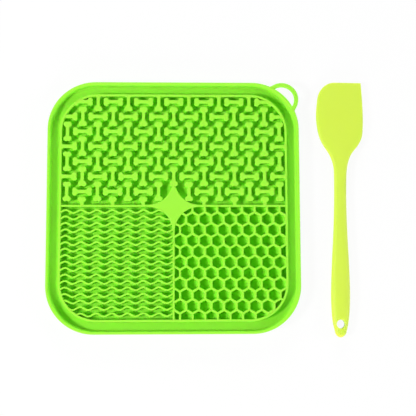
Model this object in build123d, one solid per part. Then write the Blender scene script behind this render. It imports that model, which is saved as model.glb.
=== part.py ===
from build123d import *
import os
from math import atan2, copysign, cos, degrees, pi, radians, sin, sqrt

# Silicone lick mat with its spatula. Millimetres, +Z up, origin under the mat's centre, on the table.

# Mat, outer form
mat_side = 200.0
mat_corner_radius = 38.0
sheet_thickness = 1.5
rim_height = 6.0
rim_top_wall = 2.0
rim_inner_draft = 0.5
rim_outer_draft = 0.6

# Patterned field inside the moat
field_side = 177.3
border_wall = 1.6
border_draft = 0.6
floor_skin = 0.7
pattern_height = 5.5
cross_rib_wall = 1.5
stem_rib_wall = 1.5
rib_shift = 0.65
star_arc_radius = 19.6

# Bones
bone_pitch = 12.05
bone_length = 15.5
bone_end_width = 6.4
bone_shaft_width = 2.6
bone_lobe_radius = 1.9
lobe_sides = 3

# Waves
wave_pitch = 5.06
wave_first = 3.85
wave_length = 12.23
wave_swing = 1.2
wave_top_wall = 1.3
wave_draft = 0.15
wave_crest_share = 0.936
wave_steps = 4

# Honeycomb
cell_pitch = 9.87
cell_first_row = 1.39
cell_top_wall = 1.5
cell_draft = 0.25

# Hanging loop at one corner
loop_outer_radius = 13.4
loop_band = 3.5
loop_thickness = 3.0

# Suction cups under the sheet
cup_height = 3.0
cup_lip_radius = 21.0
cup_root_radius = 10.0
cup_lip_wall = 1.2
cup_roof = 1.2
cup_pitch = 57.0
cups_per_side = 3
cup_sides = 12

# Spatula
spatula_length = 205.0
spatula_tip_x = 131.5
spatula_tip_y = -103.2
spatula_lean = 1.0
handle_width = 15.2
handle_thickness = 9.0
handle_end_radius = 5.7
handle_length = 109.0
neck_width = 9.7
neck_length = 19.0
blade_width = 38.1
blade_thickness = 5.0
blade_corner_radius = 15.0
hang_hole_radius = 3.4
hang_hole_from_tip = 10.5
core_width = 5.5
core_thickness = 3.0
core_start = 19.0
core_end = 166.0
core_clearance = 0.15

# One overrun for all cuts
overrun = 1.0

# Spatula sections: place along its stretch, width and thickness, as shares of the named sizes
handle_place_shares = [0.0, 0.11, 0.33, 0.56, 1.0]
handle_size_shares = [0.76, 0.79, 1.0, 0.87, 0.64]
blade_place_shares = [0.165, 0.24, 0.335, 0.415, 0.52, 0.63, 1.0]
blade_width_shares = [0.335, 0.46, 0.72, 0.88, 0.965, 1.0, 0.86]
blade_thick_shares = [1.14, 1.12, 1.08, 1.05, 1.02, 1.0, 0.4]
section_power_share = 0.55
section_sides = 12

# Levels and reaches worked out from the sizes above
mat_half = mat_side / 2
field_half = field_side / 2
border_half = field_half + border_wall
moat_level = cup_height + sheet_thickness
recess_level = moat_level - floor_skin
pattern_level = moat_level + pattern_height
rim_level = moat_level + rim_height
star_reach_x = star_arc_radius + stem_rib_wall / 2
star_reach_y = star_arc_radius + cross_rib_wall / 2
rib_low_edge = rib_shift - cross_rib_wall / 2
rib_high_edge = rib_shift + cross_rib_wall / 2
blade_length = spatula_length - handle_length - neck_length
spatula_mid_level = handle_thickness / 2


def corner_at(half):
    # every outline of the mat keeps the same corner centres
    return mat_corner_radius - (mat_half - half)


def outline(half):
    return RectangleRounded(2 * half, 2 * half, corner_at(half))


def raised(face, low_level, high_level):
    return extrude(Pos(0, 0, low_level) * face, amount=high_level - low_level)


def drafted(face, low_level, high_level, narrowing):
    # raised face whose walls lean in by this much on their way up
    height = high_level - low_level
    slope = degrees(atan2(narrowing, height))
    return extrude(Pos(0, 0, low_level) * face, amount=height, taper=slope)


def drafted_block(low_half, low_level, high_half, high_level):
    low = Pos(0, 0, low_level) * outline(low_half)
    high = Pos(0, 0, high_level) * outline(high_half)
    return loft([low, high], ruled=True)


def mat_envelope(low_level, high_level):
    # outside of the rim: its foot is drawn in, its top is the full side
    rise = rim_level - cup_height
    low_half = mat_half - rim_outer_draft * (rim_level - low_level) / rise
    high_half = mat_half - rim_outer_draft * (rim_level - high_level) / rise
    return drafted_block(low_half, low_level, high_half, high_level)


def make_base_sheet():
    # the fields' skin lies in a recess, so that their floor is level with the moat's
    return mat_envelope(cup_height, moat_level) - raised(outline(field_half), recess_level, moat_level)


def make_outer_rim():
    top_half = mat_half - rim_top_wall
    foot_half = top_half - rim_inner_draft
    inside = drafted_block(foot_half, moat_level, top_half, rim_level)
    return mat_envelope(moat_level, rim_level) - inside


def make_field_border():
    outside = drafted_block(border_half + border_draft, moat_level, border_half, pattern_level)
    return outside - raised(outline(field_half), moat_level, pattern_level)


def star_face():
    # what four round field corners leave between them
    face = Rectangle(2 * star_reach_x, 2 * star_reach_y)
    for side in (-1, 1):
        for end in (-1, 1):
            face -= Pos(side * star_reach_x, end * star_reach_y) * Circle(star_arc_radius)
    return Pos(0, rib_shift) * face


def make_star_boss():
    return raised(star_face(), recess_level, pattern_level)


def rib_between(start, end):
    # one straight rib from corner to corner of its plan
    width = abs(end[0] - start[0])
    depth = abs(end[1] - start[1])
    middle = Pos((start[0] + end[0]) / 2, (start[1] + end[1]) / 2)
    return raised(middle * Rectangle(width, depth), recess_level, pattern_level)


def make_divider_ribs():
    stem = stem_rib_wall / 2
    left = rib_between((-field_half, rib_low_edge), (-star_reach_x, rib_high_edge))
    right = rib_between((star_reach_x, rib_low_edge), (field_half, rib_high_edge))
    lower = rib_between((-stem, -field_half), (stem, rib_shift - star_reach_y))
    return Compound(children=[left, right, lower])


def field_region(low_x, high_x, low_y, high_y):
    # the part of the field between these limits, clear of the star
    middle = Pos((low_x + high_x) / 2, (low_y + high_y) / 2)
    window = middle * Rectangle(high_x - low_x, high_y - low_y)
    return (outline(field_half) & window) - star_face()


def lobe_points(center_x, center_y, radius, start, stop):
    # straight sides round one lobe, from angle to angle in degrees
    points = []
    for step in range(1, lobe_sides):
        angle = radians(start + (stop - start) * step / lobe_sides)
        points.append((center_x + radius * cos(angle), center_y + radius * sin(angle)))
    return points


def bone_face():
    # a bone lying along X: two lobes at each end of a straight shaft
    radius = bone_lobe_radius
    lobe_x = bone_length / 2 - radius
    lobe_y = bone_end_width / 2 - radius
    shaft_x = lobe_x - radius
    notch_x = lobe_x + sqrt(radius**2 - lobe_y**2)
    lobe = lobe_points(lobe_x, lobe_y, radius, 200, -60)
    upper = [(shaft_x, bone_shaft_width / 2)] + lobe + [(notch_x, 0)]
    right = upper + [(x, -y) for x, y in reversed(upper[:-1])]
    left = [(-x, -y) for x, y in right]
    return make_face(Polyline(*reversed(right + left), close=True))


def bone_places():
    # column, row and whether the bone stands: lying and standing ones alternate
    reach = int((field_half + bone_length / 2) / bone_pitch)
    places = []
    for column in range(-reach, reach + 1):
        for row in range(reach + 1):
            stands = (column + row) % 2 == 0
            on_rib = row == 0 and (column == 0 or not stands)
            on_star = row == 1 and column == 0
            in_corner = row == reach and abs(column) == reach
            if not (on_rib or on_star or in_corner):
                places.append((column, row, stands))
    return places


def make_bone_field():
    region = field_region(-field_half, field_half, rib_high_edge, field_half)
    space = raised(region, moat_level, pattern_level)
    lying = raised(bone_face(), moat_level, pattern_level)
    standing = Rot(0, 0, 90) * lying
    pieces = []
    for column, row, stands in bone_places():
        bone = standing if stands else lying
        kept = Pos(column * bone_pitch, row * bone_pitch, 0) * bone & space
        pieces += kept.solids()
    return raised(region, recess_level, moat_level) + pieces


def wave_face(middle_y, wall):
    # one wavy rib, from the stem rib past the left border
    turns = field_half / wave_length + 2
    upper = []
    lower = []
    for step in range(int(turns * wave_steps)):
        turn = (step + 1 / 2) / wave_steps
        x = wave_length * (1 - wave_crest_share - turn)
        y = middle_y + wave_swing * cos(2 * pi * turn)
        upper.append((x, y + wall / 2))
        lower.append((x, y - wall / 2))
    return make_face(Polyline(*upper, *reversed(lower), close=True))


def make_wave_field():
    region = field_region(-field_half, -stem_rib_wall / 2, -field_half, rib_low_edge)
    space = raised(region, moat_level, pattern_level)
    count = int((field_half - wave_first) / wave_pitch) + 1
    pieces = []
    for index in range(count):
        middle_y = -wave_first - index * wave_pitch
        low = Pos(0, 0, moat_level) * wave_face(middle_y, wave_top_wall + 2 * wave_draft)
        high = Pos(0, 0, pattern_level) * wave_face(middle_y, wave_top_wall)
        pieces += (loft([low, high], ruled=True) & space).solids()
    return raised(region, recess_level, moat_level) + pieces


def cell_pocket():
    # six-sided hollow, narrower at its floor: drawn upside down from its mouth, then turned over
    narrowing = cell_draft * (pattern_height + overrun) / pattern_height
    mouth = cell_pitch - cell_top_wall + 2 * (narrowing - cell_draft)
    hexagon = RegularPolygon(mouth / sqrt(3), 6, rotation=30)
    return Rot(180, 0, 0) * drafted(hexagon, -pattern_level - overrun, -moat_level, narrowing)


def make_honeycomb_field():
    region = field_region(stem_rib_wall / 2, field_half, -field_half, rib_low_edge)
    block = raised(region, recess_level, pattern_level)
    row_pitch = cell_pitch * sqrt(3) / 2
    rows = int(field_half / row_pitch) + 1
    columns = int(field_half / cell_pitch) + 2
    pocket = cell_pocket()
    pockets = []
    for row in range(rows):
        for column in range(columns):
            x = (column + row % 2 / 2) * cell_pitch
            pockets.append(Pos(x, -cell_first_row - row * row_pitch, 0) * pocket)
    return block - pockets


def make_hanging_loop():
    middle = mat_half - loop_outer_radius
    ring = Circle(loop_outer_radius) - Circle(loop_outer_radius - loop_band)
    band = raised(Pos(middle, middle) * ring, rim_level - loop_thickness, rim_level)
    return band - mat_envelope(rim_level - loop_thickness, rim_level)


def bell(low_radius, high_radius, height):
    # many-sided cone stump standing on the table
    narrowing = (low_radius - high_radius) * cos(pi / cup_sides)
    return drafted(RegularPolygon(low_radius, cup_sides), 0, height, narrowing)


def cup_solid():
    outside = bell(cup_lip_radius, cup_root_radius, cup_height)
    inside = bell(cup_lip_radius - cup_lip_wall, cup_root_radius - cup_lip_wall, cup_height - cup_roof)
    return outside - inside


def make_suction_cups():
    cup = cup_solid()
    places = GridLocations(cup_pitch, cup_pitch, cups_per_side, cups_per_side)
    return Compound(children=[place * cup for place in places])


def spatula_place():
    return Pos(spatula_tip_x, spatula_tip_y, spatula_mid_level) * Rot(0, 0, -spatula_lean)


def spatula_stations():
    # distance from the tip, width and thickness of every section
    stations = []
    for place, size in zip(handle_place_shares, handle_size_shares):
        stations.append((place * handle_length, size * handle_width, size * handle_thickness))
    blade_start = handle_length + neck_length
    stations.append((blade_start, neck_width, neck_width * handle_thickness / handle_width))
    for place, width, thick in zip(blade_place_shares, blade_width_shares, blade_thick_shares):
        stations.append((blade_start + place * blade_length, width * blade_width, thick * blade_thickness))
    return stations


def rounded_part(value):
    # pushes a sine or cosine outward, so that the section is a box with round edges
    return copysign(abs(value) ** section_power_share, value)


def section_face(width, thickness):
    widest = rounded_part(cos(pi / section_sides))
    points = []
    for side in range(section_sides):
        angle = 2 * pi * (side + 1 / 2) / section_sides
        x = width / 2 * rounded_part(cos(angle)) / widest
        y = thickness / 2 * rounded_part(sin(angle)) / widest
        points.append((x, y))
    return make_face(Polyline(*points, close=True))


def spatula_body():
    sections = []
    for along, width, thickness in spatula_stations():
        plane = Plane((0, along, 0), x_dir=(1, 0, 0), z_dir=(0, 1, 0))
        sections.append(plane * section_face(width, thickness))
    return loft(sections, ruled=True)


def corner_cutter(center_x, center_y, radius, side, end):
    # removes what lies outside one round corner
    square = Pos(center_x + side * radius, center_y + end * radius) * Rectangle(2 * radius, 2 * radius)
    corner = square - Pos(center_x, center_y) * Circle(radius)
    return extrude(Pos(0, 0, -handle_thickness) * corner, amount=2 * handle_thickness)


def core_solid(grow):
    # flat stiffening bar; the skin's hollow is the same bar grown by the clearance
    bar = Box(core_width + 2 * grow, core_end - core_start + 2 * grow, core_thickness + 2 * grow)
    return Pos(0, (core_start + core_end) / 2, 0) * bar


def make_spatula_skin():
    body = spatula_body()
    for side in (-1, 1):
        body -= corner_cutter(0, handle_end_radius, handle_end_radius, side, -1)
    blade_x = blade_corner_radius - blade_width / 2
    body -= corner_cutter(blade_x, spatula_length - blade_corner_radius, blade_corner_radius, -1, 1)
    body -= Pos(0, hang_hole_from_tip) * Cylinder(hang_hole_radius, 2 * handle_thickness)
    body -= core_solid(core_clearance)
    return spatula_place() * body


def make_spatula_core():
    return spatula_place() * core_solid(0)


makers = {
    "base_sheet": make_base_sheet,
    "outer_rim": make_outer_rim,
    "field_border": make_field_border,
    "divider_ribs": make_divider_ribs,
    "star_boss": make_star_boss,
    "bone_field": make_bone_field,
    "wave_field": make_wave_field,
    "honeycomb_field": make_honeycomb_field,
    "hanging_loop": make_hanging_loop,
    "suction_cups": make_suction_cups,
    "spatula_skin": make_spatula_skin,
    "spatula_core": make_spatula_core,
}

os.makedirs("parts", exist_ok=True)
for name, make in makers.items():
    export_step(make(), f"parts/{name}.step")
    print("wrote", name)
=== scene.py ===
import math
import bmesh
import bpy
from mathutils import Matrix, Vector


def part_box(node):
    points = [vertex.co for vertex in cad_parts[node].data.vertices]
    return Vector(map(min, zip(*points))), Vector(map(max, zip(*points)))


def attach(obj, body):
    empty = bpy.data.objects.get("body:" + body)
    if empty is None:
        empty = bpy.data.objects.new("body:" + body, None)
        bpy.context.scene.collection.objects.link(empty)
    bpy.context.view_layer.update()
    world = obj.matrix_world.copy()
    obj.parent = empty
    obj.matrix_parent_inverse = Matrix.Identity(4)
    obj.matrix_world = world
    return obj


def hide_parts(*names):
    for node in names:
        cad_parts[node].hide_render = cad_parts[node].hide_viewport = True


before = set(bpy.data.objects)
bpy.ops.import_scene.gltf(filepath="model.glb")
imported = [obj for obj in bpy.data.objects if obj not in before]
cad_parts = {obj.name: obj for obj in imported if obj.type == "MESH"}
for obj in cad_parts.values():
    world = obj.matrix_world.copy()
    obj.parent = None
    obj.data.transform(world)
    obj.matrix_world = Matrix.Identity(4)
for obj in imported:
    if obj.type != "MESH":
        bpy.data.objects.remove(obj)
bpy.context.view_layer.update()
mm = 0.001

# Sizes that several pieces of the mat share
mat = {
    "half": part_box("outer_rim")[1].x,
    "cornerRadius": 38.0 * mm,
    "cornerSteps": 28,
    "underside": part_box("base_sheet")[0].z,
    "moatFloor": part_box("outer_rim")[0].z,
    "rimTop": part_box("outer_rim")[1].z,
    "fieldHalf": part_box("bone_field")[1].x,
    "fieldCorner": 28.5 * mm,
    "fieldFloor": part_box("outer_rim")[0].z + 0.06 * mm,  # just clear of the sheet
    "fieldTop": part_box("star_boss")[1].z,
    "fieldZone": 4.0 * mm,  # outlines this near the fields take the fields' corners
    "slabDepth": 0.8 * mm,  # how far a field's floor runs down into the sheet
    "overlap": 0.8 * mm,  # how far a field runs into the ribs round it
    "hair": 0.012 * mm,  # step between tops that would lie in one plane
}
quarters = ((1, 1, 0), (-1, 1, 90), (-1, -1, 180), (1, -1, 270))  # a corner's sides, and where its arc starts
print("frame loaded, mat half side", round(mat["half"], 4))


def bend(centerA, centerB, radius, start, stop, steps):
    # points along an arc, its start and stop in degrees
    points = []
    for step in range(steps + 1):
        angle = math.radians(start + (stop - start) * step / steps)
        points.append((centerA + radius * math.cos(angle), centerB + radius * math.sin(angle)))
    return points


def lift(outline, z):
    return [Vector((x, y, z)) for x, y in outline]


def cornerAt(half):
    # the rim's outlines share their corner centres, and so do those of the fields
    if half < mat["fieldHalf"] + mat["fieldZone"]:
        return mat["fieldCorner"] + half - mat["fieldHalf"]
    return mat["cornerRadius"] + half - mat["half"]


def squareOutline(half):
    # rounded square about the mat's middle
    radius = cornerAt(half)
    center = half - radius
    points = []
    for side, end, start in quarters:
        points += bend(side * center, end * center, radius, start, start + 90, mat["cornerSteps"])
    return points


# Soft edges of what stands up from the fields' floor
softEdge = {"sink": 0.02 * mm, "capInset": 1.25, "footSteps": 4, "crownSteps": 5}


def raisedRings(floor, top, foot, crown, lean):
    # growth of an outline at each height, from a soft foot up to a rounded crown
    sink = softEdge["sink"]
    footArc = bend(lean + foot, floor + foot, foot, 270, 180, softEdge["footSteps"])
    rings = [(lean + foot, floor - foot - sink)]
    rings += [(grow, z - sink) for grow, z in footArc]
    rings += bend(-crown, top - crown, crown, 0, 90, softEdge["crownSteps"])
    rings.append((-crown * softEdge["capInset"], top))
    return rings


def addRings(work, rings, loop=False):
    # skins a stack of rings with equal counts; its two ends are capped, or joined in a loop
    rows = [[work.verts.new(point) for point in ring] for ring in rings]
    pairs = list(zip(rows, rows[1:]))
    if loop:
        pairs.append((rows[-1], rows[0]))
    count = len(rows[0])
    for low, high in pairs:
        for index in range(count):
            after = (index + 1) % count
            work.faces.new((low[index], low[after], high[after], high[index]))
    if not loop:
        work.faces.new(list(reversed(rows[0])))
        work.faces.new(rows[-1])


def meshObject(name, work):
    bmesh.ops.recalc_face_normals(work, faces=work.faces)
    mesh = bpy.data.meshes.new(name)
    work.to_mesh(mesh)
    work.free()
    piece = bpy.data.objects.new(name, mesh)
    bpy.context.scene.collection.objects.link(piece)
    return piece


def combine(target, tool, operation):
    # exact union, difference or overlap of two closed meshes, kept in the target
    step = target.modifiers.new("combine", "BOOLEAN")
    step.operation = operation
    step.solver = "MANIFOLD"
    step.object = tool
    graph = bpy.context.evaluated_depsgraph_get()
    result = bpy.data.meshes.new_from_object(target.evaluated_get(graph))
    target.modifiers.clear()
    oldMesh = target.data
    target.data = result
    bpy.data.meshes.remove(oldMesh)
    bpy.data.objects.remove(tool)


def finishPiece(piece, node, body, material, sharpAngle=40):
    # material and smooth shading, then the CAD node that the piece stands for
    mesh = piece.data
    mesh.materials.clear()
    mesh.materials.append(material)
    mesh.shade_smooth()
    mesh.set_sharp_from_angle(angle=math.radians(sharpAngle))
    smooth = piece.modifiers.new("evenNormals", "WEIGHTED_NORMAL")
    smooth.keep_sharp = True
    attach(piece, body)
    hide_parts(node)
    print(piece.name, "has", len(mesh.polygons), "faces")


# Materials
def addNode(tree, kind, place, **settings):
    node = tree.nodes.new(kind)
    node.location = place
    for key, value in settings.items():
        setattr(node, key, value)
    return node


def fillInputs(node, values):
    for key, value in values.items():
        node.inputs[key].default_value = value


skinLook = {
    "grainScale": 2600.0,
    "cloudScale": 95.0,
    "patchScale": 17.0,
    "cloudDepth": 0.05,
    "patchDepth": 0.04,
    "grainHeight": 0.05 * mm,
    "ior": 1.41,
}


def siliconeGroup():
    # moulded silicone: fine matt grain, faint clouds in the colour, uneven sheen
    tree = bpy.data.node_groups.new("siliconeSkin", "ShaderNodeTree")
    face = tree.interface
    face.new_socket("Tint", in_out="INPUT", socket_type="NodeSocketColor")
    face.new_socket("Deep Tint", in_out="INPUT", socket_type="NodeSocketColor")
    face.new_socket("Sheen Low", in_out="INPUT", socket_type="NodeSocketFloat")
    face.new_socket("Sheen High", in_out="INPUT", socket_type="NodeSocketFloat")
    face.new_socket("Colour", in_out="OUTPUT", socket_type="NodeSocketColor")
    face.new_socket("Roughness", in_out="OUTPUT", socket_type="NodeSocketFloat")
    face.new_socket("Height", in_out="OUTPUT", socket_type="NodeSocketFloat")
    source = addNode(tree, "NodeGroupInput", (-900, 0))
    target = addNode(tree, "NodeGroupOutput", (600, 0))
    place = addNode(tree, "ShaderNodeTexCoord", (-900, -300))
    grain = addNode(tree, "ShaderNodeTexNoise", (-650, -450))
    fillInputs(grain, {"Scale": skinLook["grainScale"], "Detail": 3.0, "Roughness": 0.55})
    cloud = addNode(tree, "ShaderNodeTexNoise", (-650, -150))
    fillInputs(cloud, {"Scale": skinLook["cloudScale"], "Detail": 4.0, "Roughness": 0.6})
    patch = addNode(tree, "ShaderNodeTexNoise", (-650, 150))
    fillInputs(patch, {"Scale": skinLook["patchScale"], "Detail": 2.0, "Roughness": 0.5})
    for noise in (grain, cloud, patch):
        tree.links.new(place.outputs["Object"], noise.inputs["Vector"])
    cloudShare = addNode(tree, "ShaderNodeMapRange", (-400, -150))
    fillInputs(cloudShare, {"From Min": 0.3, "From Max": 0.7, "To Min": 0.0, "To Max": skinLook["cloudDepth"]})
    tree.links.new(cloud.outputs["Fac"], cloudShare.inputs["Value"])
    patchShare = addNode(tree, "ShaderNodeMapRange", (-400, 150))
    fillInputs(patchShare, {"From Min": 0.3, "From Max": 0.7, "To Min": 0.0, "To Max": skinLook["patchDepth"]})
    tree.links.new(patch.outputs["Fac"], patchShare.inputs["Value"])
    both = addNode(tree, "ShaderNodeMath", (-200, 0), operation="ADD")
    tree.links.new(cloudShare.outputs["Result"], both.inputs[0])
    tree.links.new(patchShare.outputs["Result"], both.inputs[1])
    tint = addNode(tree, "ShaderNodeMix", (0, 150), data_type="RGBA")
    tree.links.new(both.outputs["Value"], tint.inputs["Factor"])
    tree.links.new(source.outputs["Tint"], tint.inputs[6])  # 6, 7 and 2 are the mix's colour sockets
    tree.links.new(source.outputs["Deep Tint"], tint.inputs[7])
    tree.links.new(tint.outputs[2], target.inputs["Colour"])
    sheen = addNode(tree, "ShaderNodeMapRange", (0, -150))
    fillInputs(sheen, {"From Min": 0.25, "From Max": 0.75})
    tree.links.new(cloud.outputs["Fac"], sheen.inputs["Value"])
    tree.links.new(source.outputs["Sheen Low"], sheen.inputs["To Min"])
    tree.links.new(source.outputs["Sheen High"], sheen.inputs["To Max"])
    tree.links.new(sheen.outputs["Result"], target.inputs["Roughness"])
    tree.links.new(grain.outputs["Fac"], target.inputs["Height"])
    return tree


skinGroup = siliconeGroup()


def siliconeMaterial(name, look):
    material = bpy.data.materials.new(name)
    material.use_nodes = True
    tree = material.node_tree
    shader = tree.nodes["Principled BSDF"]
    fillInputs(shader, {"Subsurface Weight": look["glow"], "Subsurface Scale": look["glowDepth"],
                        "Subsurface Radius": look["glowTint"], "IOR": skinLook["ior"],
                        "Specular IOR Level": look["gloss"]})
    skin = addNode(tree, "ShaderNodeGroup", (-500, 0), node_tree=skinGroup)
    fillInputs(skin, {"Tint": look["tint"], "Deep Tint": look["deepTint"],
                      "Sheen Low": look["sheenLow"], "Sheen High": look["sheenHigh"]})
    bump = addNode(tree, "ShaderNodeBump", (-250, -250))
    fillInputs(bump, {"Strength": look["grain"], "Distance": skinLook["grainHeight"]})
    tree.links.new(skin.outputs["Height"], bump.inputs["Height"])
    tree.links.new(skin.outputs["Colour"], shader.inputs["Base Color"])
    tree.links.new(skin.outputs["Roughness"], shader.inputs["Roughness"])
    tree.links.new(bump.outputs["Normal"], shader.inputs["Normal"])
    return material


matLook = {
    "tint": (0.370, 0.885, 0.060, 1.0),
    "deepTint": (0.30, 0.82, 0.040, 1.0),
    "sheenLow": 0.46,
    "sheenHigh": 0.60,
    "grain": 0.25,
    "gloss": 0.08,
    "glow": 0.3,
    "glowDepth": 1.5 * mm,
    "glowTint": (0.6, 1.0, 0.15),
}
spatulaLook = {
    "tint": (0.668, 0.86, 0.083, 1.0),
    "deepTint": (0.61, 0.79, 0.057, 1.0),
    "sheenLow": 0.42,
    "sheenHigh": 0.55,
    "grain": 0.2,
    "gloss": 0.3,
    "glow": 0.4,
    "glowDepth": 2.5 * mm,
    "glowTint": (1.0, 1.0, 0.3),
}
matSilicone = siliconeMaterial("matSilicone", matLook)
spatulaSilicone = siliconeMaterial("spatulaSilicone", spatulaLook)


# Stiffening bar inside the spatula
coreLook = {
    "tint": (0.8, 0.8, 0.78, 1.0),
    "shade": (0.7, 0.7, 0.67, 1.0),
    "flowScale": 60.0,
    "flowLow": 0.35,
    "flowHigh": 0.65,
}


def coreMaterial():
    # natural moulded plastic with faint flow marks
    material = bpy.data.materials.new("corePlastic")
    material.use_nodes = True
    tree = material.node_tree
    shader = tree.nodes["Principled BSDF"]
    place = addNode(tree, "ShaderNodeTexCoord", (-800, 0))
    flow = addNode(tree, "ShaderNodeTexNoise", (-600, 0))
    fillInputs(flow, {"Scale": coreLook["flowScale"], "Detail": 3.0, "Distortion": 1.2})
    ramp = addNode(tree, "ShaderNodeValToRGB", (-350, 0))
    ramp.color_ramp.elements[0].position = coreLook["flowLow"]
    ramp.color_ramp.elements[0].color = coreLook["shade"]
    ramp.color_ramp.elements[1].position = coreLook["flowHigh"]
    ramp.color_ramp.elements[1].color = coreLook["tint"]
    tree.links.new(place.outputs["Object"], flow.inputs["Vector"])
    tree.links.new(flow.outputs["Fac"], ramp.inputs["Fac"])
    tree.links.new(ramp.outputs["Color"], shader.inputs["Base Color"])
    tree.links.new(flow.outputs["Fac"], shader.inputs["Roughness"])
    return material


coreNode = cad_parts["spatula_core"]
coreNode.data.materials.clear()
coreNode.data.materials.append(coreMaterial())
print("materials made")


# Base sheet, with a soft lower edge
sheetShape = {"lowHalf": 99.4 * mm, "highHalf": 99.52 * mm, "edge": 0.6 * mm, "edgeSteps": 5}


def makeSheet():
    edge = sheetShape["edge"]
    rings = bend(sheetShape["lowHalf"] - edge, mat["underside"] + edge, edge, 270, 360, sheetShape["edgeSteps"])
    rings.append((sheetShape["highHalf"], mat["moatFloor"]))
    work = bmesh.new()
    addRings(work, [lift(squareOutline(size), z) for size, z in rings])
    return meshObject("matSheet", work)


finishPiece(makeSheet(), "base_sheet", "mat", matSilicone)


# Outer rim: leaning wall with a rounded top and a soft inner foot
rimShape = {"wall": 1.85 * mm, "innerLean": 0.6 * mm, "crown": 0.5 * mm, "foot": 1.3 * mm, "sink": 0.3 * mm,
            "steps": 6}


def makeRim():
    top = mat["rimTop"]
    floor = mat["moatFloor"]
    crown = rimShape["crown"]
    foot = rimShape["foot"]
    steps = rimShape["steps"]
    outer = mat["half"]
    inner = outer - rimShape["wall"]
    footHalf = inner - rimShape["innerLean"]
    profile = [(sheetShape["highHalf"], floor - rimShape["sink"]), (sheetShape["highHalf"], floor)]
    profile += bend(outer - crown, top - crown, crown, 0, 90, steps)
    profile += bend(inner + crown, top - crown, crown, 90, 180, steps)
    profile += bend(footHalf - foot, floor + foot, foot, 0, -90, steps)
    profile.append((footHalf - foot, floor - rimShape["sink"]))
    work = bmesh.new()
    addRings(work, [lift(squareOutline(half), z) for half, z in profile], loop=True)
    return meshObject("matRim", work)


finishPiece(makeRim(), "outer_rim", "mat", matSilicone)


# Border rib between the moat and the fields
borderShape = {"wall": 1.6 * mm, "lean": 0.4 * mm, "crown": 0.5 * mm, "foot": 0.3 * mm, "sink": 0.3 * mm,
               "footSteps": 6, "crownSteps": 5}


def makeBorder():
    top = mat["fieldTop"]
    floor = mat["moatFloor"]
    crown = borderShape["crown"]
    foot = borderShape["foot"]
    inner = mat["fieldHalf"]
    outer = inner + borderShape["wall"]
    outerFoot = outer + borderShape["lean"] - foot / 2
    profile = [(inner, floor - borderShape["sink"]), (outerFoot + foot, floor - borderShape["sink"])]
    profile += bend(outerFoot + foot, floor + foot, foot, 270, 180, borderShape["footSteps"])
    profile += bend(outer - crown, top - crown, crown, 0, 90, borderShape["crownSteps"])
    profile += bend(inner + crown, top - crown, crown, 90, 180, borderShape["crownSteps"])
    work = bmesh.new()
    addRings(work, [lift(squareOutline(half), z) for half, z in profile], loop=True)
    return meshObject("matBorder", work)


finishPiece(makeBorder(), "field_border", "mat", matSilicone)


# Star boss where the ribs meet, a little above the mat's middle
starShape = {
    "arc": 19.6 * mm,
    "shift": 0.65 * mm,
    "crossWall": 1.5 * mm,
    "stemWall": 1.5 * mm,
    "crown": 0.5 * mm,
    "foot": 0.5 * mm,
    "lean": 0.15 * mm,
    "tipTurn": 60,  # half the turn of each round tip
    "arcGap": 2,  # degrees left out at each end of a hollow arc
    "tipSteps": 4,
    "arcSteps": 20,
}


def starOutline(grow):
    # four hollow arcs with round tips between them
    arc = starShape["arc"] - grow
    gap = starShape["arcGap"]
    turn = starShape["tipTurn"]
    crossHalf = starShape["crossWall"] / 2
    stemHalf = starShape["stemWall"] / 2
    reachX = starShape["arc"] + stemHalf
    reachY = starShape["arc"] + crossHalf
    tips = ((reachX, 0, crossHalf), (0, reachY, stemHalf), (-reachX, 0, crossHalf), (0, -reachY, stemHalf))
    points = []
    for (tipX, tipY, tipHalf), (side, end, facing) in zip(tips, quarters):
        points += bend(tipX, tipY, tipHalf + grow, facing - turn, facing + turn, starShape["tipSteps"])
        points += bend(side * reachX, end * reachY, arc, facing + 270 - gap, facing + 180 + gap, starShape["arcSteps"])
    return [(x, y + starShape["shift"]) for x, y in points]


def makeStar():
    rings = raisedRings(mat["fieldFloor"], mat["fieldTop"], starShape["foot"], starShape["crown"], starShape["lean"])
    work = bmesh.new()
    addRings(work, [lift(starOutline(grow), z) for grow, z in rings])
    return meshObject("matStar", work)


finishPiece(makeStar(), "star_boss", "mat", matSilicone)


# Divider ribs
dividerShape = {"crown": 0.45 * mm, "foot": 0.5 * mm, "lean": 0.15 * mm, "tuck": 0.1 * mm}


def ribSection(wall, rings):
    # closed cross-section as offset and height: up one flank, over the crown, down the other
    right = [(wall / 2 + grow, z) for grow, z in rings]
    return right + [(-offset, z) for offset, z in reversed(right)]


def addBar(work, start, end, section):
    along = (end - start).normalized()
    across = Vector((along.y, -along.x, 0))
    addRings(work, [[place + across * offset + Vector((0, 0, z)) for offset, z in section] for place in (start, end)])


def makeDividers():
    rings = raisedRings(mat["fieldFloor"], mat["fieldTop"] - mat["hair"], dividerShape["foot"], dividerShape["crown"],
                        dividerShape["lean"])
    cross = ribSection(starShape["crossWall"], rings)
    stem = ribSection(starShape["stemWall"], rings)
    far = mat["fieldHalf"] + mat["overlap"]
    nearX = starShape["arc"] + starShape["stemWall"] / 2 + dividerShape["tuck"]
    nearY = starShape["arc"] + starShape["crossWall"] / 2 + dividerShape["tuck"]
    middle = starShape["shift"]
    work = bmesh.new()
    addBar(work, Vector((-nearX, middle, 0)), Vector((-far, middle, 0)), cross)
    addBar(work, Vector((nearX, middle, 0)), Vector((far, middle, 0)), cross)
    addBar(work, Vector((0, middle - nearY, 0)), Vector((0, -far, 0)), stem)
    return meshObject("matDividers", work)


finishPiece(makeDividers(), "divider_ribs", "mat", matSilicone)


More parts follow.
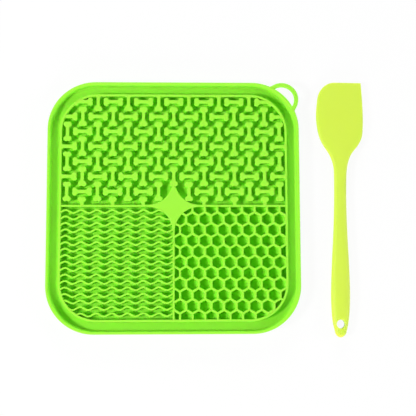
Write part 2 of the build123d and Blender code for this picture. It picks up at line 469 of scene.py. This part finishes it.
# Fields: each has a floor skin and its pattern, cut off inside the ribs round it
def fieldOutline(grow, lowX, highX, lowY, highY):
    # the part of the rounded field inside these limits
    points = []
    for x, y in squareOutline(mat["fieldHalf"] + grow):
        if lowX <= x <= highX and lowY <= y <= highY:
            points.append((x, y))
    half = mat["fieldHalf"] + grow
    for x in (lowX, highX):
        for y in (lowY, highY):
            if x in (-half, half) and y in (-half, half):
                continue
            points.append((x, y))
    middleX = (lowX + highX) / 2
    middleY = (lowY + highY) / 2
    return sorted(points, key=lambda point: math.atan2(point[1] - middleY, point[0] - middleX))


def prism(name, outline, low, high):
    work = bmesh.new()
    addRings(work, [lift(outline, low), lift(outline, high)])
    return meshObject(name, work)


def fieldSlab(name, outline, high):
    return prism(name, outline, mat["moatFloor"] - mat["slabDepth"], high)


# Bones, lying and standing in turn
boneShape = {
    "pitch": 12.05 * mm,
    "length": 15.5 * mm,
    "endWidth": 6.4 * mm,
    "shaftWidth": 2.6 * mm,
    "lobe": 1.9 * mm,
    "throat": 1.2 * mm,  # hollow between lobe and shaft
    "notch": 0.7 * mm,  # hollow between the two lobes
    "crown": 0.35 * mm,
    "foot": 0.15 * mm,
    "lean": 0.03 * mm,
    "reach": 7,  # bones to each side of the middle, and rows above it
    "notchSteps": 2,
    "lobeSteps": 9,
    "throatSteps": 4,
}


def boneQuarter(grow):
    # from the notch over one lobe and through the throat to the shaft
    lobe = boneShape["lobe"]
    lobeX = boneShape["length"] / 2 - lobe
    lobeY = boneShape["endWidth"] / 2 - lobe
    notch = boneShape["notch"]
    throat = boneShape["throat"]
    notchX = lobeX + math.sqrt((lobe + notch) ** 2 - lobeY ** 2)
    throatY = boneShape["shaftWidth"] / 2 + throat
    throatX = lobeX - math.sqrt((lobe + throat) ** 2 - (throatY - lobeY) ** 2)
    notchTurn = math.degrees(math.atan2(lobeY, lobeX - notchX))
    throatTurn = math.degrees(math.atan2(throatY - lobeY, throatX - lobeX))
    points = bend(notchX, 0, notch - grow, 180, notchTurn, boneShape["notchSteps"])
    points += bend(lobeX, lobeY, lobe + grow, notchTurn - 180, throatTurn, boneShape["lobeSteps"])[1:]
    points += bend(throatX, throatY, throat - grow, throatTurn - 180, -90, boneShape["throatSteps"])[1:]
    return points


def boneOutline(grow):
    quarter = boneQuarter(grow)
    upper = quarter + [(-x, y) for x, y in reversed(quarter)]
    lower = [(-x, -y) for x, y in upper[1:-1]]
    return upper + lower


def makeBones():
    rings = raisedRings(mat["fieldFloor"], mat["fieldTop"] - 2 * mat["hair"], boneShape["foot"], boneShape["crown"],
                        boneShape["lean"])
    outlines = [(boneOutline(grow), z) for grow, z in rings]
    work = bmesh.new()
    reach = boneShape["reach"]
    for column in range(-reach, reach + 1):
        for row in range(reach + 1):
            stands = (column + row) % 2 == 0
            onRib = row == 0 and (column == 0 or not stands)
            onStar = row == 1 and column == 0
            inCorner = row == reach and abs(column) == reach
            if onRib or onStar or inCorner:  # these places stay bare
                continue
            x = column * boneShape["pitch"]
            y = row * boneShape["pitch"]
            if stands:
                addRings(work, [[Vector((x - v, y + u, z)) for u, v in outline] for outline, z in outlines])
            else:
                addRings(work, [[Vector((x + u, y + v, z)) for u, v in outline] for outline, z in outlines])
    bones = meshObject("matBones", work)
    far = mat["fieldHalf"] + mat["overlap"]
    outline = fieldOutline(mat["overlap"], -far, far, starShape["shift"], far)
    combine(bones, prism("boneLimit", outline, 0, 2 * mat["rimTop"]), "INTERSECT")
    combine(bones, fieldSlab("boneFloor", outline, mat["fieldFloor"]), "UNION")
    return bones


finishPiece(makeBones(), "bone_field", "mat", matSilicone)


# Wavy ribs
waveShape = {
    "pitch": 5.06 * mm,
    "first": 3.85 * mm,
    "length": 12.23 * mm,
    "crest": 0.78 * mm,  # where a crest stands, right of the mat's middle
    "swing": 1.15 * mm,
    "wall": 1.3 * mm,
    "crown": 0.4 * mm,
    "foot": 0.4 * mm,
    "lean": 0.1 * mm,
    "step": 0.45 * mm,
}


def fieldEdge(y, grow):
    # how far the rounded field reaches sideways at this height of the plan
    half = mat["fieldHalf"] + grow
    radius = cornerAt(half)
    past = abs(y) - (half - radius)
    if past <= 0:
        return half
    return half - radius + math.sqrt(max(radius ** 2 - past ** 2, 0))


def starEdge(y):
    # how far the star reaches sideways there
    reachX = starShape["arc"] + starShape["stemWall"] / 2
    reachY = starShape["arc"] + starShape["crossWall"] / 2
    past = reachY - abs(y - starShape["shift"])
    if past <= 0:
        return starShape["stemWall"] / 2
    return reachX - math.sqrt(max(starShape["arc"] ** 2 - past ** 2, 0))


def makeWaves():
    rings = raisedRings(mat["fieldFloor"], mat["fieldTop"] - 2 * mat["hair"], waveShape["foot"], waveShape["crown"],
                        waveShape["lean"])
    section = ribSection(waveShape["wall"], rings)
    turn = 2 * math.pi / waveShape["length"]
    work = bmesh.new()
    count = int((mat["fieldHalf"] - waveShape["first"]) / waveShape["pitch"]) + 1
    for index in range(count):
        middle = -waveShape["first"] - index * waveShape["pitch"]
        start = -starEdge(middle) + mat["overlap"]
        end = -fieldEdge(middle, mat["overlap"])
        steps = int((start - end) / waveShape["step"])
        stations = []
        for step in range(steps + 1):
            x = start + (end - start) * step / steps
            phase = turn * (x - waveShape["crest"])
            y = middle + waveShape["swing"] * math.cos(phase)
            slope = -waveShape["swing"] * turn * math.sin(phase)
            across = Vector((-slope, 1, 0)).normalized()
            stations.append([Vector((x, y, z)) + across * offset for offset, z in section])
        addRings(work, stations)
    waves = meshObject("matWaves", work)
    far = mat["fieldHalf"] + mat["overlap"]
    outline = fieldOutline(mat["overlap"], -far, 0, -far, starShape["shift"])
    combine(waves, fieldSlab("waveFloor", outline, mat["fieldFloor"]), "UNION")
    return waves


finishPiece(makeWaves(), "wave_field", "mat", matSilicone)


# Honeycomb of six-sided pockets
cellShape = {
    "pitch": 9.87 * mm,
    "firstRow": 1.39 * mm,
    "wall": 1.5 * mm,
    "corner": 0.5 * mm,
    "crown": 0.4 * mm,
    "foot": 0.5 * mm,
    "lean": 0.25 * mm,
    "margin": 0.25 * mm,  # how far a pocket may run into the ribs round the field
    "floorInset": 1.3,  # the floor's outline, in foot radii inside the wall
    "edgeSteps": 4,
    "cornerSteps": 3,
}


def hexOutline(reach, corner):
    # hexagon with a point up and rounded corners; reach is from the middle to a side
    points = []
    for index in range(6):
        turn = 30 + 60 * index
        distance = (reach - corner) / math.cos(math.radians(30))
        centerX = distance * math.cos(math.radians(turn))
        centerY = distance * math.sin(math.radians(turn))
        points += bend(centerX, centerY, corner, turn - 30, turn + 30, cellShape["cornerSteps"])
    return points


def makeHoneycomb():
    top = mat["fieldTop"] - 2 * mat["hair"]
    floor = mat["fieldFloor"]
    crown = cellShape["crown"]
    foot = cellShape["foot"]
    reach = (cellShape["pitch"] - cellShape["wall"]) / 2
    low = reach - cellShape["lean"]
    rings = [(low - foot * cellShape["floorInset"], floor)]
    rings += bend(low - foot, floor + foot, foot, 270, 360, cellShape["edgeSteps"])
    rings += bend(reach + crown, top - crown, crown, 180, 90, cellShape["edgeSteps"])
    rings.append((reach + crown, top + crown))
    outlines = [(hexOutline(size, cellShape["corner"]), z) for size, z in rings]
    rowPitch = cellShape["pitch"] * math.sqrt(3) / 2
    rows = int(mat["fieldHalf"] / rowPitch) + 1
    columns = int(mat["fieldHalf"] / cellShape["pitch"]) + 2
    work = bmesh.new()
    for row in range(rows):
        for column in range(columns):
            x = (column + row % 2 / 2) * cellShape["pitch"]
            y = -cellShape["firstRow"] - row * rowPitch
            addRings(work, [[Vector((x + u, y + v, z)) for u, v in outline] for outline, z in outlines])
    pockets = meshObject("pockets", work)
    margin = cellShape["margin"]
    inner = mat["fieldHalf"] + margin
    stem = starShape["stemWall"] / 2 - margin
    cross = starShape["crossWall"] / 2 - margin
    limit = fieldOutline(margin, stem, inner, -inner, starShape["shift"] - cross)
    combine(pockets, prism("cellLimit", limit, 0, 2 * mat["rimTop"]), "INTERSECT")
    far = mat["fieldHalf"] + mat["overlap"]
    block = fieldSlab("matHoneycomb", fieldOutline(mat["overlap"], 0, far, -far, starShape["shift"]), top)
    combine(block, pockets, "DIFFERENCE")
    return block


finishPiece(makeHoneycomb(), "honeycomb_field", "mat", matSilicone)


# Hanging loop at the upper right corner
loopShape = {
    "outer": 13.4 * mm,
    "band": 3.3 * mm,
    "thick": 3.0 * mm,
    "edge": 0.8 * mm,
    "facing": 45.0,  # the corner's diagonal
    "halfTurn": 88.0,
    "flare": 0.6 * mm,  # how much each side of the band widens where it meets the rim
    "flareTurn": 16.0,
    "steps": 44,
    "edgeSteps": 4,
}


def loopSection(band):
    thick = loopShape["thick"]
    edge = loopShape["edge"]
    points = []
    for side, end, start in quarters:
        points += bend(side * (band / 2 - edge), end * (thick / 2 - edge), edge, start, start + 90,
                       loopShape["edgeSteps"])
    return points


def makeLoop():
    center = mat["half"] - loopShape["outer"]
    middle = loopShape["outer"] - loopShape["band"] / 2
    level = mat["rimTop"] - loopShape["thick"] / 2 - mat["hair"]
    halfTurn = loopShape["halfTurn"]
    rings = []
    for step in range(loopShape["steps"] + 1):
        turn = -halfTurn + 2 * halfTurn * step / loopShape["steps"]
        near = max(0, 1 - (halfTurn - abs(turn)) / loopShape["flareTurn"])
        section = loopSection(loopShape["band"] + 2 * loopShape["flare"] * near ** 2)
        angle = math.radians(loopShape["facing"] + turn)
        outward = Vector((math.cos(angle), math.sin(angle), 0))
        place = Vector((center, center, level)) + outward * middle
        rings.append([place + outward * across + Vector((0, 0, up)) for across, up in section])
    work = bmesh.new()
    addRings(work, rings)
    return meshObject("matLoop", work)


finishPiece(makeLoop(), "hanging_loop", "mat", matSilicone)


# Suction cups under the sheet
cupShape = {
    "pitch": 57.0 * mm,
    "perSide": 3,
    "lip": 21.0 * mm,
    "root": 10.0 * mm,
    "roof": 1.2 * mm,
    "lipWall": 0.5 * mm,
    "tuck": 0.1 * mm,  # how far the root runs into the sheet
    "lipRound": ((0.05 * mm, 0.35), (0.3 * mm, 0.0)),  # inset, and height as a share of the lip's wall
    "hollowInset": 0.9 * mm,
    "flarePower": 1.6,
    "hollowPower": 2.2,
    "flareSteps": 8,
    "hollowSteps": 9,
    "sides": 48,
}


def cupProfile():
    # radius and height: root, flaring outside, lip, hollow inside
    root = cupShape["root"]
    lip = cupShape["lip"]
    wall = cupShape["lipWall"]
    drop = mat["underside"] - wall
    points = [(root, mat["underside"] + cupShape["tuck"])]
    for step in range(1, cupShape["flareSteps"] + 1):
        share = step / cupShape["flareSteps"]
        points.append((root + (lip - root) * share, wall + drop * (1 - share) ** cupShape["flarePower"]))
    points += [(lip - inset, wall * share) for inset, share in cupShape["lipRound"]]
    roof = mat["underside"] - cupShape["roof"]
    mouth = lip - cupShape["hollowInset"]
    for step in range(1, cupShape["hollowSteps"]):
        share = step / cupShape["hollowSteps"]
        points.append((mouth * (1 - share), roof * (1 - (1 - share) ** cupShape["hollowPower"])))
    return points


def makeCups():
    profile = cupProfile()
    work = bmesh.new()
    reach = (cupShape["perSide"] - 1) / 2
    for column in range(cupShape["perSide"]):
        for row in range(cupShape["perSide"]):
            x = (column - reach) * cupShape["pitch"]
            y = (row - reach) * cupShape["pitch"]
            rings = []
            for radius, z in profile:
                circle = bend(x, y, radius, 0, 360, cupShape["sides"])[:-1]
                rings.append(lift(circle, z))
            addRings(work, rings)
    return meshObject("matCups", work)


finishPiece(makeCups(), "suction_cups", "mat", matSilicone)


# Spatula: handle, neck and blade in one moulding
spatulaShape = {
    "tipX": 131.26 * mm,
    "tipY": -103.2 * mm,
    "lean": 1.0,  # degrees
    "length": 205.0 * mm,
    "tipRadius": 4.0 * mm,
    "cornerStart": 188.0 * mm,  # from here up the blade's left corner rounds off
    "cornerLeft": 18.68 * mm,
    "topLeft": 3.7 * mm,
    "cornerPower": 2.1,
    "endRound": 0.9 * mm,
    "endLeast": 0.02,  # keeps the last ring from closing to a line
    "holeRadius": 3.5 * mm,
    "holeFromTip": 10.5 * mm,
    "holeEdge": 0.5 * mm,
    "holePast": 2.0 * mm,  # how far the cutter stands out past each face
    "holeSteps": 4,
    "holeSides": 48,
    "crown": 0.7 * mm,
    "crownThick": 3.0 * mm,  # half thickness at which the crown is that high
    "edgeOfThick": 0.98,  # most that an edge's radius takes of the half thickness
    "edgeOfWidth": 0.49,  # and of the width
    "least": 0.01 * mm,  # smallest size that is divided by
    "edgeSteps": 6,
    "topSteps": 8,
    "tipSteps": 12,
    "bodySteps": 90,
    "cornerSteps": 24,
    "sharpAngle": 50,
}

# In millimetres: distance from the tip, reach to the left and right, half thickness, edge radius
spatulaColumns = {"left": 1, "right": 2, "thick": 3, "edge": 4}
spatulaStations = (
    (0.0, 3.5, 3.65, 3.35, 2.6),
    (5.7, 4.65, 4.95, 3.40, 2.7),
    (11.4, 6.04, 6.16, 3.55, 2.8),
    (21.4, 7.03, 7.14, 4.00, 3.0),
    (35.5, 7.39, 7.46, 4.48, 3.2),
    (60.9, 6.6, 6.64, 3.92, 2.9),
    (85.0, 5.45, 5.43, 3.40, 2.6),
    (109.0, 4.89, 4.79, 2.90, 2.3),
    (128.0, 4.93, 4.97, 2.88, 2.2),
    (134.5, 5.2, 5.45, 2.86, 2.1),
    (140.7, 6.53, 6.7, 2.84, 2.0),
    (146.5, 9.12, 9.15, 2.80, 1.9),
    (153.8, 13.96, 14.59, 2.70, 1.8),
    (160.0, 16.81, 17.49, 2.62, 1.7),
    (168.4, 18.74, 18.36, 2.55, 1.6),
    (176.8, 19.44, 18.46, 2.45, 1.5),
    (188.3, 18.69, 18.08, 2.00, 1.4),
    (198.4, 16.0, 17.43, 1.45, 1.1),
    (205.0, 3.7, 16.94, 1.00, 0.9),
)


def smoothAt(name, place):
    # value of one column at this distance, on a curve with no corners
    column = spatulaColumns[name]
    rows = [(row[0] * mm, row[column] * mm) for row in spatulaStations]
    place = min(max(place, rows[0][0]), rows[-1][0])
    index = 0
    while index < len(rows) - 2 and place > rows[index + 1][0]:
        index += 1
    slopes = []
    for spot in (index, index + 1):
        before = rows[max(spot - 1, 0)]
        after = rows[min(spot + 1, len(rows) - 1)]
        slopes.append((after[1] - before[1]) / (after[0] - before[0]))
    width = rows[index + 1][0] - rows[index][0]
    share = (place - rows[index][0]) / width
    low = rows[index][1] * (1 + 2 * share) * (1 - share) ** 2 + slopes[0] * width * share * (1 - share) ** 2
    high = rows[index + 1][1] * share ** 2 * (3 - 2 * share) + slopes[1] * width * share ** 2 * (share - 1)
    return low + high


def spatulaReach(place):
    left = smoothAt("left", place)
    right = smoothAt("right", place)
    tip = spatulaShape["tipRadius"]
    if place < tip:
        bulge = math.sqrt(max(1 - (1 - place / tip) ** 2, 0))
        return left * bulge, right * bulge
    start = spatulaShape["cornerStart"]
    if place > start:
        share = min((place - start) / (spatulaShape["length"] - start), 1)
        power = spatulaShape["cornerPower"]
        bulge = (1 - share ** power) ** (1 / power)
        left = spatulaShape["topLeft"] + (spatulaShape["cornerLeft"] - spatulaShape["topLeft"]) * bulge
    return left, right


def spatulaThick(place):
    thick = smoothAt("thick", place)
    if place < thick:
        thick *= math.sqrt(max(1 - (1 - place / thick) ** 2, 0))
    fromEnd = spatulaShape["length"] - place
    end = spatulaShape["endRound"]
    if fromEnd < end:
        thick *= math.sqrt(max(1 - (1 - fromEnd / end) ** 2, spatulaShape["endLeast"]))
    return thick


def spatulaRing(place):
    # flat-topped section with round edges and a faint crown
    left, right = spatulaReach(place)
    thick = spatulaThick(place)
    edge = min(smoothAt("edge", place), thick * spatulaShape["edgeOfThick"],
               (left + right) * spatulaShape["edgeOfWidth"])
    crown = spatulaShape["crown"] * thick / spatulaShape["crownThick"]
    upper = bend(right - edge, thick - edge, edge, 0, 90, spatulaShape["edgeSteps"])
    for step in range(1, spatulaShape["topSteps"]):
        upper.append((right - edge + (edge - left - right + edge) * step / spatulaShape["topSteps"], thick))
    upper += bend(edge - left, thick - edge, edge, 90, 180, spatulaShape["edgeSteps"])
    lower = [(across, -up) for across, up in reversed(upper)]
    ring = []
    middle = (right - left) / 2
    halfWidth = max((left + right) / 2, spatulaShape["least"])
    drop = crown / max(thick, spatulaShape["least"])  # share of the thickness lost at the edges
    for across, up in upper + lower:
        off = (across - middle) / halfWidth
        ring.append(Vector((across, place, up * (1 - drop * off * off))))
    return ring


def spatulaPlaces():
    # rings lie closer together where the tip and the blade's end round off
    tip = spatulaShape["tipRadius"]
    start = spatulaShape["cornerStart"]
    places = []
    steps = spatulaShape["tipSteps"]
    for step in range(1, steps + 1):
        places.append(tip * (1 - math.cos(math.radians(90 * step / steps))))
    steps = spatulaShape["bodySteps"]
    for step in range(1, steps + 1):
        places.append(tip + (start - tip) * step / steps)
    steps = spatulaShape["cornerSteps"]
    for step in range(1, steps + 1):
        places.append(start + (spatulaShape["length"] - start) * math.sin(math.radians(90 * step / steps)))
    return places


def holeCutter():
    # round hole whose edges open out softly at both faces
    radius = spatulaShape["holeRadius"]
    edge = spatulaShape["holeEdge"]
    along = spatulaShape["holeFromTip"]
    face = smoothAt("thick", along)
    half = bend(radius + edge, face - edge, edge, 180, 90, spatulaShape["holeSteps"])
    half.append((radius + edge, face + spatulaShape["holePast"]))
    profile = [(size, -z) for size, z in reversed(half)] + half
    work = bmesh.new()
    addRings(work, [lift(bend(0, along, size, 0, 360, spatulaShape["holeSides"])[:-1], z) for size, z in profile])
    return meshObject("holeCutter", work)


def makeSpatula():
    work = bmesh.new()
    addRings(work, [spatulaRing(place) for place in spatulaPlaces()])
    spatula = meshObject("spatulaSkin", work)
    combine(spatula, holeCutter(), "DIFFERENCE")
    skinLow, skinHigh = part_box("spatula_skin")
    place = Vector((spatulaShape["tipX"], spatulaShape["tipY"], (skinLow.z + skinHigh.z) / 2))
    lean = Matrix.Rotation(math.radians(-spatulaShape["lean"]), 4, "Z")
    spatula.data.transform(Matrix.Translation(place) @ lean)
    return spatula


finishPiece(makeSpatula(), "spatula_skin", "spatula", spatulaSilicone,
            sharpAngle=spatulaShape["sharpAngle"])
print("spatula made")


# Floor, light and camera
stageLook = {"size": 6.0, "tint": (0.93, 0.93, 0.93, 1.0), "roughness": 0.9, "gloss": 0.1, "ownLight": 0.92}


def seenMask(tree, x):
    # 1 for rays from the camera, a mirror or a glass
    path = addNode(tree, "ShaderNodeLightPath", (x, 300))
    first = addNode(tree, "ShaderNodeMath", (x + 200, 300), operation="MAXIMUM")
    second = addNode(tree, "ShaderNodeMath", (x + 400, 300), operation="MAXIMUM")
    tree.links.new(path.outputs["Is Camera Ray"], first.inputs[0])
    tree.links.new(path.outputs["Is Glossy Ray"], first.inputs[1])
    tree.links.new(first.outputs["Value"], second.inputs[0])
    tree.links.new(path.outputs["Is Transmission Ray"], second.inputs[1])
    return second.outputs["Value"]


def makeFloor():
    material = bpy.data.materials.new("paleFloor")
    material.use_nodes = True
    tree = material.node_tree
    shader = tree.nodes["Principled BSDF"]
    fillInputs(shader, {"Base Color": stageLook["tint"], "Roughness": stageLook["roughness"],
                        "Specular IOR Level": stageLook["gloss"]})
    glow = addNode(tree, "ShaderNodeEmission", (0, -250))
    share = addNode(tree, "ShaderNodeMath", (0, 300), operation="MULTIPLY")
    share.inputs[1].default_value = stageLook["ownLight"]
    mix = addNode(tree, "ShaderNodeMixShader", (300, 0))
    tree.links.new(seenMask(tree, -700), share.inputs[0])
    tree.links.new(share.outputs["Value"], mix.inputs["Fac"])
    tree.links.new(shader.outputs["BSDF"], mix.inputs[1])
    tree.links.new(glow.outputs["Emission"], mix.inputs[2])
    tree.links.new(mix.outputs["Shader"], tree.nodes["Material Output"].inputs["Surface"])
    work = bmesh.new()
    half = stageLook["size"] / 2
    corners = [work.verts.new((side * half, end * half, 0)) for side, end, _ in quarters]
    work.faces.new(corners)
    mesh = bpy.data.meshes.new("floor")
    work.to_mesh(mesh)
    work.free()
    mesh.materials.append(material)
    floor = bpy.data.objects.new("floor", mesh)
    bpy.context.scene.collection.objects.link(floor)


lampLooks = (  # turn is in degrees round from +X
    {"name": "keyLight", "turn": 196.0, "rise": 40.5, "far": 1.5, "size": 0.24, "power": 15.3},
    {"name": "fillLight", "turn": 0.0, "rise": 20.0, "far": 1.5, "size": 0.6, "power": 8.6},
    {"name": "frontLight", "turn": 270.0, "rise": 18.0, "far": 1.5, "size": 0.6, "power": 12.8},
    {"name": "backLight", "turn": 90.0, "rise": 18.0, "far": 1.5, "size": 0.6, "power": 12.8},
)
# bright round the sides, dark overhead; the fade is in degrees above the floor
skyLook = {"tint": (1.0, 1.0, 1.0, 1.0), "level": 0.49, "top": 0.01, "fadeStart": 30.0, "fadeEnd": 45.0, "seen": 1.0}


def makeLamp(look):
    lamp = bpy.data.lights.new(look["name"], "AREA")
    lamp.shape = "SQUARE"
    lamp.size = look["size"]
    lamp.energy = look["power"]
    holder = bpy.data.objects.new(look["name"], lamp)
    turn = math.radians(look["turn"])
    rise = math.radians(look["rise"])
    away = Vector((math.cos(turn) * math.cos(rise), math.sin(turn) * math.cos(rise), math.sin(rise)))
    holder.location = away * look["far"]
    holder.rotation_euler = away.to_track_quat("Z", "Y").to_euler()
    bpy.context.scene.collection.objects.link(holder)


def makeWorld():
    world = bpy.data.worlds.new("studio")
    world.use_nodes = True
    tree = world.node_tree
    background = tree.nodes["Background"]
    background.inputs["Color"].default_value = skyLook["tint"]
    place = addNode(tree, "ShaderNodeTexCoord", (-900, 0))
    split = addNode(tree, "ShaderNodeSeparateXYZ", (-700, 0))
    tree.links.new(place.outputs["Generated"], split.inputs["Vector"])
    band = addNode(tree, "ShaderNodeMapRange", (-500, 0), interpolation_type="SMOOTHSTEP")
    fillInputs(band, {"From Min": math.sin(math.radians(skyLook["fadeStart"])),
                      "From Max": math.sin(math.radians(skyLook["fadeEnd"])),
                      "To Min": skyLook["level"], "To Max": skyLook["top"]})
    tree.links.new(split.outputs["Z"], band.inputs["Value"])
    strength = addNode(tree, "ShaderNodeMix", (-200, 0), data_type="FLOAT")
    strength.inputs[3].default_value = skyLook["seen"]  # 2, 3 and 0 are the mix's number sockets
    tree.links.new(seenMask(tree, -900), strength.inputs["Factor"])
    tree.links.new(band.outputs["Result"], strength.inputs[2])
    tree.links.new(strength.outputs[0], background.inputs["Strength"])
    bpy.context.scene.world = world


cameraView = {
    "place": (3.505 * mm, -80.31 * mm, 717.29 * mm),
    "turn": (6.384, -1.897, -0.225),
    "picture": 416.0,  # its width, and the next two, in picture points
    "focal": 901.4,
    "sideways": -0.25,
    "sensor": 36.0,
    "nearest": 0.01,
}


def makeCamera():
    lens = bpy.data.cameras.new("camera")
    lens.sensor_width = cameraView["sensor"]
    lens.lens = cameraView["sensor"] * (cameraView["focal"] / cameraView["picture"])
    lens.shift_x = cameraView["sideways"] / cameraView["picture"]
    lens.clip_start = cameraView["nearest"]
    camera = bpy.data.objects.new("camera", lens)
    camera.location = cameraView["place"]
    camera.rotation_euler = [math.radians(angle) for angle in cameraView["turn"]]
    bpy.context.scene.collection.objects.link(camera)
    bpy.context.scene.camera = camera


makeFloor()
for lampLook in lampLooks:
    makeLamp(lampLook)
makeWorld()
makeCamera()
bpy.context.scene.view_settings.view_transform = "Standard"
print("floor, light and camera set")
